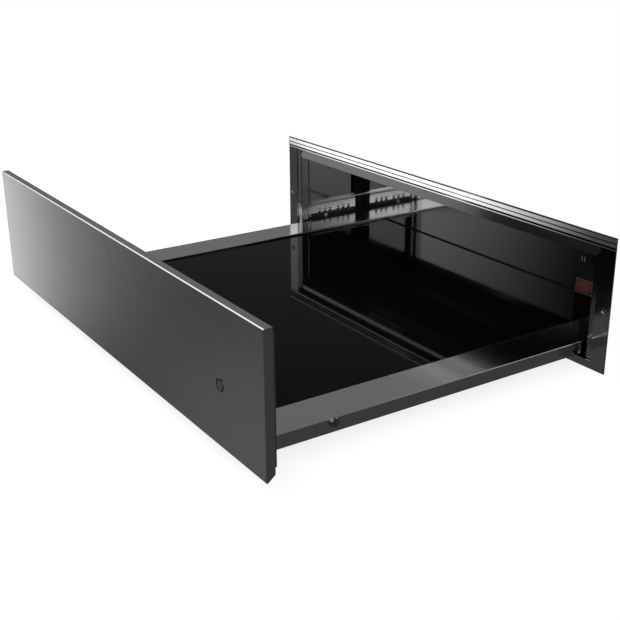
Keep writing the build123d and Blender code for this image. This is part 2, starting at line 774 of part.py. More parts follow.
# Rear panel: mirror-finished sheet with returns behind, clear of the channels' lips.
with BuildPart() as rear_panel:
    with BuildSketch(Plane.XZ.offset(-y_rear)):
        with Locations((0, (front_foot + rear_panel_top) / 2)):
            Rectangle(2 * rear_panel_half_width, rear_panel_top - front_foot)
    extrude(amount=-rear_panel_return)
    with BuildSketch(Plane.XZ.offset(-(y_rear + rear_panel_thick))):
        with Locations((0, (front_foot + rear_panel_top) / 2 - rear_panel_thick)):
            Rectangle(2 * (rear_panel_half_width - rear_panel_thick), rear_panel_top - front_foot)
    extrude(amount=-rear_panel_return, mode=Mode.SUBTRACT)
    with BuildSketch(Plane.XZ.offset(-y_rear)):
        with Locations((control_x, control_middle)):
            Rectangle(housing_width + fit_gap, housing_height + fit_gap)
    extrude(amount=-rear_panel_thick, mode=Mode.SUBTRACT)
rear_panel.part.label = "rear_panel"
export_step(rear_panel.part, "parts/rear_panel.step")

# Black wiper strips that close the gap between the rear panel and the carcase's sides.
wiper_foot = runner_top + wiper_clear
wiper_x = rear_panel_half_width + wiper_thick / 2
wiper_lip_outside = half_cavity - wiper_lip_gap
with BuildPart() as side_wipers:
    for side in (-1, 1):
        with BuildSketch(Plane.XY.offset(wiper_foot)):
            with Locations((side * wiper_x, y_rear + (rear_panel_return - wiper_depth) / 2)):
                Rectangle(wiper_thick, wiper_depth + rear_panel_return)
            with Locations((side * (rear_panel_half_width + wiper_lip_outside) / 2, y_rear + wiper_lip / 2)):
                Rectangle(wiper_lip_outside - rear_panel_half_width, wiper_lip)
        extrude(amount=rear_panel_top - wiper_foot)
side_wipers.part.label = "side_wipers"
export_step(side_wipers.part, "parts/side_wipers.step")

# Guide bars, ball rows, cages and end blocks that ride in the channels.
group_pitch = (ball_group - 1) * ball_pitch + ball_group_gap
ball_places = [
    ball_row_start + group * group_pitch + ball * ball_pitch
    for group in range(2)
    for ball in range(ball_group)
]
for side, hand in ((-1, "left"), (1, "right")):
    with BuildPart() as guide_bar:
        with BuildSketch(Plane.XZ.offset(-bar_start)):
            with Locations((side * ball_x, bar_centre)):
                Rectangle(bar_outside - bar_inside, bar_height)
        extrude(amount=-bar_length)
        chamfer(guide_bar.edges().filter_by(Axis.Z), bar_edge)
        with BuildSketch(Plane.XZ.offset(-(bar_start + bar_leg_setback))):
            with Locations((side * (tray_half_width + ball_x) / 2, bar_foot + bar_leg_thick / 2)):
                Rectangle(ball_x - tray_half_width, bar_leg_thick)
        extrude(amount=bar_leg_setback - bar_length)
    guide_bar.part.label = f"guide_bar_{hand}"
    export_step(guide_bar.part, f"parts/guide_bar_{hand}.step")

    with BuildPart() as end_block:
        plate_x = side * (bar_inside + rear_panel_half_width) / 2
        with Locations((plate_x, end_block_start, runner_centre)):
            Box(
                rear_panel_half_width - bar_inside,
                end_block_depth - fit_gap,
                runner_height - 2 * end_block_inset,
                align=(Align.CENTER, Align.MIN, Align.CENTER),
            )
        with Locations((side * ball_x, end_block_start, bar_centre)):
            Box(
                bar_outside - bar_inside,
                end_block_depth - fit_gap,
                2 * (ledge_rise - fit_gap),
                align=(Align.CENTER, Align.MIN, Align.CENTER),
            )
    end_block.part.label = f"end_block_{hand}"
    export_step(end_block.part, f"parts/end_block_{hand}.step")

    with BuildPart() as ball_row:
        for way in (-1, 1):
            for place in ball_places:
                with Locations((side * ball_x, place, bar_centre + way * ball_rise)):
                    Sphere(ball_radius)
    ball_row.part.label = f"ball_row_{hand}"
    export_step(ball_row.part, f"parts/ball_row_{hand}.step")

    with BuildPart() as ball_cage:
        for way, strip, window in (
            (1, cage_upper, cage_upper_window),
            (-1, cage_lower, cage_lower_window),
        ):
            bar_face = bar_centre + way * bar_height / 2
            with Locations((side * cage_x, bar_start, bar_face + way * strip / 2)):
                Box(cage_thick, bar_length - fit_gap, strip, align=(Align.CENTER, Align.MIN, Align.CENTER))
            with Locations(*[(side * cage_x, place, bar_face + way * window / 2) for place in ball_places]):
                Box(cage_thick, 2 * ball_radius, window, mode=Mode.SUBTRACT)
    ball_cage.part.label = f"ball_cage_{hand}"
    export_step(ball_cage.part, f"parts/ball_cage_{hand}.step")

# Domed screw on the inner face of each guide bar, just above the rim.
bar_screw_y = 44.0
bar_screw_z = 26.4
bar_screw_head = 1.3
bar_screw_dome = 0.9
with BuildPart() as guide_bar_screws:
    for side in (-1, 1):
        with BuildSketch(Plane(origin=(side * bar_inside, bar_screw_y, bar_screw_z), z_dir=(-side, 0, 0))):
            Circle(screw_head_radius)
        extrude(amount=bar_screw_head)
        flats = guide_bar_screws.faces().filter_by(Axis.X)
        head = flats.sort_by(lambda face: side * face.center().X).filter_by(
            lambda face: side * face.center().X > 0
        )[0]
        fillet(head.edges(), bar_screw_dome)
guide_bar_screws.part.label = "guide_bar_screws"
export_step(guide_bar_screws.part, "parts/guide_bar_screws.step")

# Angle brackets that tie the rims to the front, with a screw in each leg.
bracket_width = 30.0
bracket_height = 30.0
bracket_depth = 18.0
bracket_thick = 1.5
bracket_screw_spread = 16.0
bracket_screw_rise = 18.0
bracket_screw_z = rim_top + bracket_screw_rise
with BuildPart() as front_brackets:
    for side in (-1, 1):
        with BuildSketch(Plane.YZ.offset(side * rim_middle)):
            with BuildLine():
                Polyline(
                    (y_tray, rim_top),
                    (y_tray + bracket_depth, rim_top),
                    (y_tray + bracket_depth, rim_top + bracket_thick),
                    (y_tray + bracket_thick, rim_top + bracket_thick),
                    (y_tray + bracket_thick, rim_top + bracket_height),
                    (y_tray, rim_top + bracket_height),
                    close=True,
                )
            make_face()
        extrude(amount=bracket_width / 2, both=True)
front_brackets.part.label = "front_brackets"
export_step(front_brackets.part, "parts/front_brackets.step")

bracket_screw_head = 1.6
with BuildPart() as front_screws:
    for side in (-1, 1):
        foot_plane = Plane.XY.offset(rim_top + bracket_thick)
        foot_y = y_tray + (bracket_depth + bracket_thick) / 2
        with BuildSketch(foot_plane):
            with Locations((side * rim_middle, foot_y)):
                with GridLocations(bracket_screw_spread, 0, 2, 1):
                    Circle(screw_head_radius)
        extrude(amount=bracket_screw_head)
        with BuildSketch(Plane.XZ.offset(-(y_tray + bracket_thick))):
            with Locations((side * rim_middle, bracket_screw_z)):
                with GridLocations(bracket_screw_spread, 0, 2, 1):
                    Circle(screw_head_radius)
        extrude(amount=-bracket_screw_head)
front_screws.part.label = "front_screws"
export_step(front_screws.part, "parts/front_screws.step")

# Folded rail under the backing, which closes the tray's front end.
with BuildPart() as front_rail:
    with Locations((0, y_skin, front_foot)):
        Box(
            2 * tray_half_width,
            backing_thick,
            backing_inset_foot - fit_gap,
            align=(Align.CENTER, Align.MIN, Align.MIN),
        )
front_rail.part.label = "front_rail"
export_step(front_rail.part, "parts/front_rail.step")

# Control plate, housing, rocker switch and thermostat dial on the rear panel.
rocker_swing = 0.8           # extra height that the tilted rocker needs
rocker_opening_height = rocker_height + 2 * fit_gap + rocker_swing
rocker_opening_width = rocker_width + 2 * fit_gap
rocker_y = y_rear + rocker_pivot_depth
plate_corner = 2.0
dial_back = y_rear - control_plate_thick - fit_gap
with BuildPart() as control_plate:
    with BuildSketch(Plane.XZ.offset(-y_rear)):
        with Locations((control_x, control_middle)):
            RectangleRounded(control_width, control_top - control_foot, plate_corner)
        with Locations((control_x, rocker_height_place)):
            Rectangle(rocker_opening_width, rocker_opening_height, mode=Mode.SUBTRACT)
        with Locations((control_x, dial_height)):
            Circle(dial_shaft + pin_fit, mode=Mode.SUBTRACT)
    extrude(amount=control_plate_thick)
control_plate.part.label = "control_plate"
export_step(control_plate.part, "parts/control_plate.step")

pin_length = 1.2
rocker_room = 2.6            # pocket behind the rocker's pivot
shaft_room = 1.0             # bore beyond the dial's shaft
rocker_edge = 0.5
pocket_depth = rocker_pivot_depth + rocker_room
housing_bore = dial_shaft_length + shaft_room
housing_side = control_x + housing_width / 2
with BuildPart() as control_housing:
    with Locations((control_x, y_rear, control_middle)):
        Box(housing_width, control_depth, housing_height, align=(Align.CENTER, Align.MIN, Align.CENTER))
    with Locations((control_x, y_rear, rocker_height_place)):
        Box(
            rocker_opening_width,
            pocket_depth,
            rocker_opening_height,
            align=(Align.CENTER, Align.MIN, Align.CENTER),
            mode=Mode.SUBTRACT,
        )
    with Locations(Plane(origin=(housing_side, rocker_y, rocker_height_place), z_dir=(1, 0, 0))):
        Hole(rocker_pin + pin_fit, depth=housing_width)
    with Locations(Plane(origin=(control_x, y_rear, dial_height), z_dir=(0, -1, 0))):
        Hole(dial_shaft + pin_fit, depth=housing_bore)
control_housing.part.label = "control_housing"
export_step(control_housing.part, "parts/control_housing.step")

tilt = math.radians(rocker_tilt)
rocker_plane = Plane(
    origin=(control_x, rocker_y, rocker_height_place),
    x_dir=(1, 0, 0),
    z_dir=(0, -math.cos(tilt), math.sin(tilt)),
)
with BuildPart(rocker_plane) as switch_rocker:
    with Locations((0, 0, rocker_pivot_depth + rocker_proud)):
        Box(rocker_width, rocker_height, rocker_thick, align=(Align.CENTER, Align.CENTER, Align.MAX))
    fillet(switch_rocker.edges().filter_by(Axis.X), rocker_edge)
    Cylinder(rocker_pin, rocker_width + 2 * (fit_gap + pin_length), rotation=(0, 90, 0))
switch_rocker.part.label = "switch_rocker"
export_step(switch_rocker.part, "parts/switch_rocker.step")

dial_plane = Plane(origin=(control_x, dial_back, dial_height), x_dir=(1, 0, 0), z_dir=(0, -1, 0))
dial_flutes = 18
flute_radius = 0.9
with BuildPart(dial_plane) as thermostat_dial:
    Cylinder(dial_radius, dial_thick, align=(Align.CENTER, Align.CENTER, Align.MIN))
    with PolarLocations(dial_radius, dial_flutes):
        Cylinder(
            flute_radius,
            dial_thick,
            align=(Align.CENTER, Align.CENTER, Align.MIN),
            mode=Mode.SUBTRACT,
        )
    Box(
        dial_ridge_width,
        2 * (dial_radius - flute_radius),
        dial_thick + dial_ridge_rise,
        align=(Align.CENTER, Align.CENTER, Align.MIN),
    )
    Cylinder(dial_shaft, dial_shaft_length, align=(Align.CENTER, Align.CENTER, Align.MAX))
thermostat_dial.part.label = "thermostat_dial"
export_step(thermostat_dial.part, "parts/thermostat_dial.step")

# Striker plate that meets the latch's plunger, and the overheat cut-out under the pan.
striker_width = 24.0
striker_height = 16.0
striker_corner = 2.0
with BuildPart() as latch_striker:
    with Locations((0, y_rear + rear_panel_thick, plunger_z)):
        Box(striker_width, striker_thick, striker_height, align=(Align.CENTER, Align.MIN, Align.CENTER))
    fillet(latch_striker.edges().filter_by(Axis.Y), striker_corner)
latch_striker.part.label = "latch_striker"
export_step(latch_striker.part, "parts/latch_striker.step")

cutout_x = 60.0
cutout_y = 40.0
cutout_radius = 8.5
cutout_height = 4.0
cutout_tab = 30.0
cutout_tab_width = 7.0
with BuildPart(Plane.XY.offset(front_foot)) as thermal_cutout:
    with Locations((cutout_x, cutout_y)):
        Cylinder(cutout_radius, cutout_height, align=(Align.CENTER, Align.CENTER, Align.MAX))
        Box(cutout_tab, cutout_tab_width, sheet, align=(Align.CENTER, Align.CENTER, Align.MAX))
thermal_cutout.part.label = "thermal_cutout"
export_step(thermal_cutout.part, "parts/thermal_cutout.step")
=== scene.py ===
"""Looks of the built-in warming drawer: finishes, small detail pieces, studio and camera.

Part frame: X across the front, Y into the cabinet, Z up, in metres.
"""

import math

import bmesh
import bpy
from mathutils import Matrix, Vector


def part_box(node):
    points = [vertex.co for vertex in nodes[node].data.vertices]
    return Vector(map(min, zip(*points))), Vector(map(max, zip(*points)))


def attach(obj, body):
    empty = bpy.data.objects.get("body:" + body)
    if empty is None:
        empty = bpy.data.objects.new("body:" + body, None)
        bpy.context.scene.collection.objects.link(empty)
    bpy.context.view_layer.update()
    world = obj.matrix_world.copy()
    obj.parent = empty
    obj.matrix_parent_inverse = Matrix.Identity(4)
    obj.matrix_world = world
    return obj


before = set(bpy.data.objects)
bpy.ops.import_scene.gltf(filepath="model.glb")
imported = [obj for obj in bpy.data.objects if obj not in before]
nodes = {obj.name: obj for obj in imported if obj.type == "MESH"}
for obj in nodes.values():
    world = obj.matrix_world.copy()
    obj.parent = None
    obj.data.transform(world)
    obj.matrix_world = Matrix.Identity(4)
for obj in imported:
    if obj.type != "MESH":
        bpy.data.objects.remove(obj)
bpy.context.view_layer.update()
MM = 0.001

# ---------------------------------------------------------------- camera
# About 57 degrees round to the right and 21 degrees up, with a slight roll.
CAMERA_PLACE = (0.9005, -0.7453, 0.4248)
CAMERA_RIGHT = (0.54960, 0.83541, -0.00582)
CAMERA_DOWN = (0.29707, -0.20195, -0.93325)
CAMERA_FORWARD = (-0.78082, 0.51119, -0.35917)
CAMERA_LENS = 60.47
SENSOR_WIDTH = 36.0


def make_camera():
    data = bpy.data.cameras.new("photo_camera")
    data.lens = CAMERA_LENS
    data.sensor_width = SENSOR_WIDTH
    data.clip_start = 0.02
    data.clip_end = 60.0
    camera = bpy.data.objects.new("photo_camera", data)
    bpy.context.scene.collection.objects.link(camera)
    right, down = Vector(CAMERA_RIGHT), Vector(CAMERA_DOWN)
    forward = Vector(CAMERA_FORWARD)
    turn = Matrix((right, -down, -forward)).transposed()
    camera.matrix_world = Matrix.Translation(CAMERA_PLACE) @ turn.to_4x4()
    bpy.context.scene.camera = camera


# ---------------------------------------------------------------- node helpers
class Graph:
    """A node tree with short calls for the nodes that the finishes share."""

    def __init__(self, tree):
        self.tree = tree

    def add(self, kind, **settings):
        node = self.tree.nodes.new(kind)
        for key, value in settings.items():
            setattr(node, key, value)
        return node

    def link(self, source, target):
        self.tree.links.new(source, target)

    def feed(self, socket, value):
        if isinstance(value, bpy.types.NodeSocket):
            self.link(value, socket)
        else:
            socket.default_value = value

    def math(self, operation, first, second=0.0, third=0.0):
        node = self.add("ShaderNodeMath", operation=operation)
        for socket, value in zip(node.inputs, (first, second, third)):
            self.feed(socket, value)
        return node.outputs[0]

    def ramp(self, value, low, high, out_low=0.0, out_high=1.0, smooth=False):
        node = self.add("ShaderNodeMapRange")
        if smooth:
            node.interpolation_type = "SMOOTHSTEP"
        self.feed(node.inputs["Value"], value)
        node.inputs["From Min"].default_value = low
        node.inputs["From Max"].default_value = high
        node.inputs["To Min"].default_value = out_low
        node.inputs["To Max"].default_value = out_high
        return node.outputs[0]

    def place(self, scale=(1.0, 1.0, 1.0)):
        coordinates = self.add("ShaderNodeTexCoord")
        mapping = self.add("ShaderNodeMapping")
        self.link(coordinates.outputs["Object"], mapping.inputs["Vector"])
        mapping.inputs["Scale"].default_value = scale
        return mapping.outputs[0]

    def noise(self, place, scale=1.0, detail=3.0, rough=0.5):
        node = self.add("ShaderNodeTexNoise")
        self.link(place, node.inputs["Vector"])
        node.inputs["Scale"].default_value = scale
        node.inputs["Detail"].default_value = detail
        node.inputs["Roughness"].default_value = rough
        return node.outputs["Fac"]

    def cells(self, place, scale, output="Color"):
        node = self.add("ShaderNodeTexVoronoi")
        self.link(place, node.inputs["Vector"])
        node.inputs["Scale"].default_value = scale
        return node.outputs[output]

    def mix_colour(self, factor, first, second, blend="MIX"):
        node = self.add("ShaderNodeMix", data_type="RGBA", blend_type=blend)
        self.feed(node.inputs["Factor"], factor)
        self.feed(node.inputs["A"], rgba(first))
        self.feed(node.inputs["B"], rgba(second))
        return next(o for o in node.outputs if o.type == "RGBA")

    def bump(self, height, strength, distance, normal=None):
        node = self.add("ShaderNodeBump")
        node.inputs["Strength"].default_value = strength
        node.inputs["Distance"].default_value = distance
        self.link(height, node.inputs["Height"])
        if normal is not None:
            self.link(normal, node.inputs["Normal"])
        return node.outputs["Normal"]


def rgba(value):
    if isinstance(value, bpy.types.NodeSocket):
        return value
    if isinstance(value, (int, float)):
        return (value, value, value, 1.0)
    return (*value, 1.0) if len(value) == 3 else value


def shade(colour, factor):
    return tuple(min(1.0, channel * factor) for channel in colour)


def new_material(name, **constants):
    material = bpy.data.materials.new(name)
    material.use_nodes = True
    graph = Graph(material.node_tree)
    shader = material.node_tree.nodes["Principled BSDF"]
    for socket, value in constants.items():
        shader.inputs[socket.replace("_", " ")].default_value = value
    return material, graph, shader


# ---------------------------------------------------------------- finishes
def steel(name, colour, rough, grain=None, spread=0.0, cloud=0.06, metal=1.0, vary=0.15):
    """Bare steel sheet. grain is the scale of the brushing along X, Y and Z."""
    material, graph, shader = new_material(name, Metallic=metal)
    shader.inputs["Anisotropic"].default_value = spread
    shader.inputs["Anisotropic Rotation"].default_value = 0.25
    if spread:
        tangent = graph.add("ShaderNodeTangent", direction_type="RADIAL", axis="Z")
        graph.link(tangent.outputs[0], shader.inputs["Tangent"])
    smudge = graph.noise(graph.place(), 9.0, 4.0, 0.55)
    if grain:
        lines = graph.noise(graph.place(grain), 1.0, 2.0, 0.6)
    else:
        lines = graph.noise(graph.place(), 260.0, 3.0, 0.6)
    tone = graph.math("MULTIPLY_ADD", lines, 0.5, graph.math("MULTIPLY", smudge, 0.5))
    tone = graph.ramp(tone, 0.3, 0.7)
    colour_out = graph.mix_colour(tone, shade(colour, 1 - cloud), shade(colour, 1 + cloud))
    graph.link(colour_out, shader.inputs["Base Color"])
    rough_out = graph.ramp(tone, 0.0, 1.0, rough * (1 - vary), rough * (1 + vary))
    graph.link(rough_out, shader.inputs["Roughness"])
    return material


def galvanised(name, colour, rough):
    """Zinc-coated sheet with its faint spangle."""
    material, graph, shader = new_material(name, Metallic=1.0)
    place = graph.place()
    spangle = graph.cells(place, 120.0)
    grey = graph.add("ShaderNodeRGBToBW")
    graph.link(spangle, grey.inputs[0])
    cloud = graph.noise(place, 14.0, 4.0, 0.6)
    tone = graph.math("MULTIPLY_ADD", grey.outputs[0], 0.35, graph.math("MULTIPLY", cloud, 0.65))
    tone = graph.ramp(tone, 0.25, 0.75)
    colour_out = graph.mix_colour(tone, shade(colour, 0.9), shade(colour, 1.08))
    graph.link(colour_out, shader.inputs["Base Color"])
    graph.link(graph.ramp(tone, 0.0, 1.0, rough * 0.8, rough * 1.2), shader.inputs["Roughness"])
    return material


def plastic(name, colour, rough, grain=900.0, bump=0.00004):
    """Moulded plastic with a fine grain."""
    material, graph, shader = new_material(name)
    place = graph.place()
    fine = graph.noise(place, grain, 3.0, 0.6)
    broad = graph.noise(place, 22.0, 3.0, 0.5)
    colour_out = graph.mix_colour(broad, shade(colour, 0.85), shade(colour, 1.15))
    graph.link(colour_out, shader.inputs["Base Color"])
    graph.link(graph.ramp(broad, 0.3, 0.7, rough * 0.9, rough * 1.1), shader.inputs["Roughness"])
    graph.link(graph.bump(fine, 0.4, bump), shader.inputs["Normal"])
    return material


def rubber(name, colour):
    material, graph, shader = new_material(name)
    place = graph.place()
    dust = graph.noise(place, 60.0, 5.0, 0.65)
    fine = graph.noise(place, 1400.0, 2.0, 0.5)
    colour_out = graph.mix_colour(graph.ramp(dust, 0.35, 0.75), colour, shade(colour, 1.9))
    graph.link(colour_out, shader.inputs["Base Color"])
    graph.link(graph.ramp(dust, 0.3, 0.7, 0.6, 0.8), shader.inputs["Roughness"])
    graph.link(graph.bump(fine, 0.5, 0.00005), shader.inputs["Normal"])
    shader.inputs["Specular IOR Level"].default_value = 0.3
    return material


GLASS_IOR = 1.1


def black_glass(name):
    """Opaque black glass with a matt-black coat, polished, faintly wavy and wiped."""
    material, graph, shader = new_material(name, IOR=GLASS_IOR)
    place = graph.place()
    wipe = graph.noise(graph.place((6.0, 1.6, 6.0)), 3.0, 4.0, 0.6)
    colour_out = graph.mix_colour(wipe, (0.0016, 0.0016, 0.0018), (0.0030, 0.0030, 0.0033))
    graph.link(colour_out, shader.inputs["Base Color"])
    graph.link(graph.ramp(wipe, 0.35, 0.75, 0.02, 0.05), shader.inputs["Roughness"])
    wave = graph.noise(place, 3.2, 1.0, 0.4)
    graph.link(graph.bump(wave, 0.1, 0.0006), shader.inputs["Normal"])
    return material


def felt(name, colour):
    material, graph, shader = new_material(name, Roughness=0.95)
    place = graph.place()
    fibre = graph.noise(graph.place((900.0, 300.0, 900.0)), 1.0, 5.0, 0.75)
    lump = graph.noise(place, 70.0, 4.0, 0.6)
    tone = graph.math("MULTIPLY_ADD", fibre, 0.6, graph.math("MULTIPLY", lump, 0.4))
    colour_out = graph.mix_colour(graph.ramp(tone, 0.3, 0.7), shade(colour, 0.72), colour)
    graph.link(colour_out, shader.inputs["Base Color"])
    graph.link(graph.bump(tone, 0.8, 0.0006), shader.inputs["Normal"])
    shader.inputs["Sheen Weight"].default_value = 0.2
    return material


def heater_film(name, colour):
    """Amber film over winding foil tracks."""
    material, graph, shader = new_material(name, Roughness=0.35)
    place = graph.place()
    wave = graph.add("ShaderNodeTexWave", wave_type="BANDS", bands_direction="X")
    graph.link(place, wave.inputs["Vector"])
    wave.inputs["Scale"].default_value = 18.0
    wave.inputs["Distortion"].default_value = 0.4
    track = graph.ramp(wave.outputs["Fac"], 0.42, 0.52, smooth=True)
    colour_out = graph.mix_colour(track, colour, (0.62, 0.42, 0.24))
    graph.link(colour_out, shader.inputs["Base Color"])
    graph.link(graph.bump(track, 0.5, 0.0002), shader.inputs["Normal"])
    return material


def lens(name):
    """Smoked indicator lens with a prismatic back."""
    material, graph, shader = new_material(name, Roughness=0.08, IOR=1.5)
    place = graph.place()
    prism = graph.cells(place, 900.0, "Distance")
    colour_out = graph.mix_colour(prism, (0.02, 0.02, 0.022), (0.06, 0.06, 0.062))
    graph.link(colour_out, shader.inputs["Base Color"])
    graph.link(graph.bump(prism, 0.2, 0.0002), shader.inputs["Normal"])
    return material


STEEL = (0.50, 0.50, 0.495)
POLISHED = (0.56, 0.56, 0.553)

FINISHES = {
    "front": steel("front_steel", STEEL, 0.2, (2.0, 260.0, 420.0), 0.2, 0.03, vary=0.04),
    "polished": steel("polished_steel", POLISHED, 0.13, cloud=0.03),
    "trim": steel("trim_steel", (0.66, 0.66, 0.655), 0.07, cloud=0.02),
    "rim": steel("rim_steel", POLISHED, 0.16, (2600.0, 3.0, 900.0), cloud=0.025),
    "bracket": steel("bracket_steel", STEEL, 0.3, cloud=0.05),
    "mirror": steel("mirror_steel", (0.58, 0.58, 0.575), 0.06, cloud=0.02),
    "wall": galvanised("wall_zinc", (0.57, 0.57, 0.565), 0.08),
    "sheet": galvanised("sheet_zinc", (0.55, 0.56, 0.57), 0.38),
    "zinc": steel("bright_zinc", (0.8, 0.8, 0.79), 0.38, cloud=0.04, metal=0.5),
    "runner": steel("runner_zinc", (0.93, 0.93, 0.92), 0.32, cloud=0.04, metal=0.85),
    "screw": steel("screw_steel", (0.3, 0.3, 0.3), 0.22, cloud=0.05),
    "ring": steel("ring_steel", (0.12, 0.12, 0.12), 0.25, cloud=0.05),
    "ball": steel("ball_steel", (0.76, 0.76, 0.77), 0.05, cloud=0.02),
    "black_steel": plastic("black_steel", (0.03, 0.03, 0.03), 0.35, 600.0),
    "black": plastic("black_plastic", (0.022, 0.022, 0.023), 0.42),
    "rubber": rubber("black_rubber", (0.016, 0.016, 0.016)),
    # Black rubber made darker still: partly its own black, partly a painted shade for the end
    # blocks, wipers and glass seal.
    "dark": rubber("rubber_painted_shade", (0.006, 0.006, 0.006)),
    "glass": black_glass("black_glass"),
    "felt": felt("fibre_felt", (0.72, 0.69, 0.6)),
    "film": heater_film("heater_film", (0.55, 0.25, 0.1)),
    "red": plastic("red_plastic", (0.2, 0.03, 0.035), 0.4, 400.0, 0.00001),
    # Lighter red for the rocker's ridges: a painted highlight on the red plastic.
    "red_painted_highlight": plastic("ridge_painted_highlight_red", (0.36, 0.13, 0.13), 0.35, 400.0, 0.00001),
    "bezel": plastic("bezel_plastic", (0.19, 0.19, 0.19), 0.4),
    # Light grey for the lines along the dial's grip edges: a painted highlight.
    "grip_highlight_grey": plastic("grip_painted_highlight", (0.6, 0.6, 0.58), 0.5),
    "grey": plastic("grey_plastic", (0.5, 0.5, 0.49), 0.45),
    "lens": lens("smoked_lens"),
}

BY_NODE = {
    "front": "front_panel",
    "polished": "front_flange inner_frame",
    "trim": "flange_trim",
    "rim": "side_rim_left side_rim_right",
    "bracket": "front_brackets front_rail",
    "mirror": "rear_panel",
    "wall": "carcase_side_left carcase_side_right",
    "sheet": "carcase_base carcase_top carcase_back carcase_rivets tray_pan latch_striker",
    "zinc": "front_screws guide_bar_screws thermal_cutout",
    "runner": "runner_channel_left runner_channel_right ball_cage_left ball_cage_right",
    "screw": "bumper_screws",
    "ring": "lens_ring",
    "ball": "ball_row_left ball_row_right",
    "black_steel": "guide_bar_left guide_bar_right",
    "black": "front_backing runner_stop_left runner_stop_right latch_body "
    "terminal_box terminal_cover control_plate "
    "control_housing thermostat_dial cable_gland",
    "rubber": "front_gasket rear_buffers",
    # End blocks, wipers and glass seal take the darker rubber, whose extra darkness is painted
    # shade.
    "dark": "end_block_left end_block_right side_wipers glass_seal",
    "glass": "glass_plate",
    "felt": "insulation_sheet front_insulation",
    "film": "heating_mat",
    "red": "switch_rocker",
    "grey": "terminal_block lamp_board latch_plunger",
    "lens": "indicator_lens",
}


def dress_nodes():
    done = set()
    for finish, names in BY_NODE.items():
        for name in names.split():
            mesh = nodes[name].data
            mesh.materials.clear()
            mesh.materials.append(FINISHES[finish])
            done.add(name)
    missing = sorted(set(nodes) - done)
    if missing:
        raise ValueError(f"no finish for {missing}")


# ---------------------------------------------------------------- small detail pieces
def ring_points(radius, depth, count):
    steps = (2 * math.pi * i / count for i in range(count))
    return [(radius * math.cos(a), radius * math.sin(a), depth) for a in steps]


def turned(profile, count):
    """Solid of revolution about +Z. profile is (radius, height) pairs from foot to tip."""
    shape = bmesh.new()
    rings = [[shape.verts.new(p) for p in ring_points(r, h, count)] for r, h in profile]
    for lower, upper in zip(rings, rings[1:]):
        for i in range(count):
            j = (i + 1) % count
            shape.faces.new((lower[i], lower[j], upper[j], upper[i]))
    shape.faces.new(reversed(rings[0]))
    shape.faces.new(rings[-1])
    return shape


def add_block(shape, low, high):
    """Box between two corners, added to shape."""
    made = bmesh.ops.create_cube(shape, size=1.0)["verts"]
    size = [b - a for a, b in zip(low, high)]
    middle = [(a + b) / 2 for a, b in zip(low, high)]
    bmesh.ops.scale(shape, vec=size, verts=made)
    bmesh.ops.translate(shape, vec=middle, verts=made)


def finish_piece(shape, name, material, body, smooth=30.0):
    mesh = bpy.data.meshes.new(name)
    bmesh.ops.recalc_face_normals(shape, faces=shape.faces)
    shape.to_mesh(mesh)
    shape.free()
    piece = bpy.data.objects.new(name, mesh)
    bpy.context.scene.collection.objects.link(piece)
    mesh.materials.append(material)
    mesh.shade_smooth()
    mesh.set_sharp_from_angle(angle=math.radians(smooth))
    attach(piece, body)
    return piece


SCREW_COUNT = 40        # sides of a head
SHANK_SHARE = 0.8       # shank's radius, as the share of the head's
DOME_STEPS = 5
DOME_STEP = 15.0        # degrees
RECESS_SHARE = 0.62     # cross's reach, as the share of the head's radius
RECESS_WIDTH = 0.2
RECESS_DEPTH = 0.5      # as the share of the crown


def screw_head(radius, foot, crown):
    """Raised head on the XY plane, its crown up, with a cross cut in."""
    profile = [(radius * SHANK_SHARE, -foot), (radius, 0.0)]
    for i in range(1, DOME_STEPS + 1):
        angle = math.radians(DOME_STEP * i)
        profile.append((radius * math.cos(angle), crown * math.sin(angle)))
    head = turned(profile, SCREW_COUNT)
    mesh = bpy.data.meshes.new("head")
    head.to_mesh(mesh)
    head.free()
    cutter = bmesh.new()
    reach, half = radius * RECESS_SHARE, radius * RECESS_WIDTH / 2
    bottom, above = crown * (1 - RECESS_DEPTH), 2 * crown
    for across, along in ((half, reach), (reach, half)):
        add_block(cutter, (-across, -along, bottom), (across, along, above))
    cut_mesh = bpy.data.meshes.new("recess")
    cutter.to_mesh(cut_mesh)
    cutter.free()
    body = bpy.data.objects.new("head", mesh)
    tool = bpy.data.objects.new("recess", cut_mesh)
    for piece in (body, tool):
        bpy.context.scene.collection.objects.link(piece)
    cut = body.modifiers.new("cut", "BOOLEAN")
    cut.operation = "DIFFERENCE"
    cut.solver = "EXACT"
    cut.use_self = True
    cut.object = tool
    solved = body.evaluated_get(bpy.context.evaluated_depsgraph_get())
    shape = bmesh.new()
    shape.from_mesh(solved.to_mesh())
    solved.to_mesh_clear()
    for piece in (body, tool):
        bpy.data.objects.remove(piece)
    for data in (mesh, cut_mesh):
        bpy.data.meshes.remove(data)
    return shape


def make_screws(name, places, normal, radius, foot, crown, material, body, spin):
    """Screw heads at several places, all facing along normal, in one piece."""
    turn = Vector(normal).to_track_quat("Z", "Y").to_matrix().to_4x4()
    turn = turn @ Matrix.Rotation(math.radians(spin), 4, "Z")
    joined = bmesh.new()
    for place in places:
        head = screw_head(radius, foot, crown)
        bmesh.ops.transform(head, matrix=Matrix.Translation(place) @ turn, verts=head.verts)
        mesh = bpy.data.meshes.new("head")
        head.to_mesh(mesh)
        head.free()
        joined.from_mesh(mesh)
        bpy.data.meshes.remove(mesh)
    return finish_piece(joined, name, material, body)


def make_flange_screws():
    low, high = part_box("front_flange")
    inset, height, sink = 7.4 * MM, 63.8 * MM, 0.3 * MM
    radius, foot, crown, spin = 2.4 * MM, 0.8 * MM, 0.35 * MM, 20.0
    places = [(x, low.y + sink, height) for x in (low.x + inset, high.x - inset)]
    piece = make_screws(
        "flange_screws", places, (0, -1, 0), radius, foot, crown, FINISHES["screw"], "carcase", spin
    )


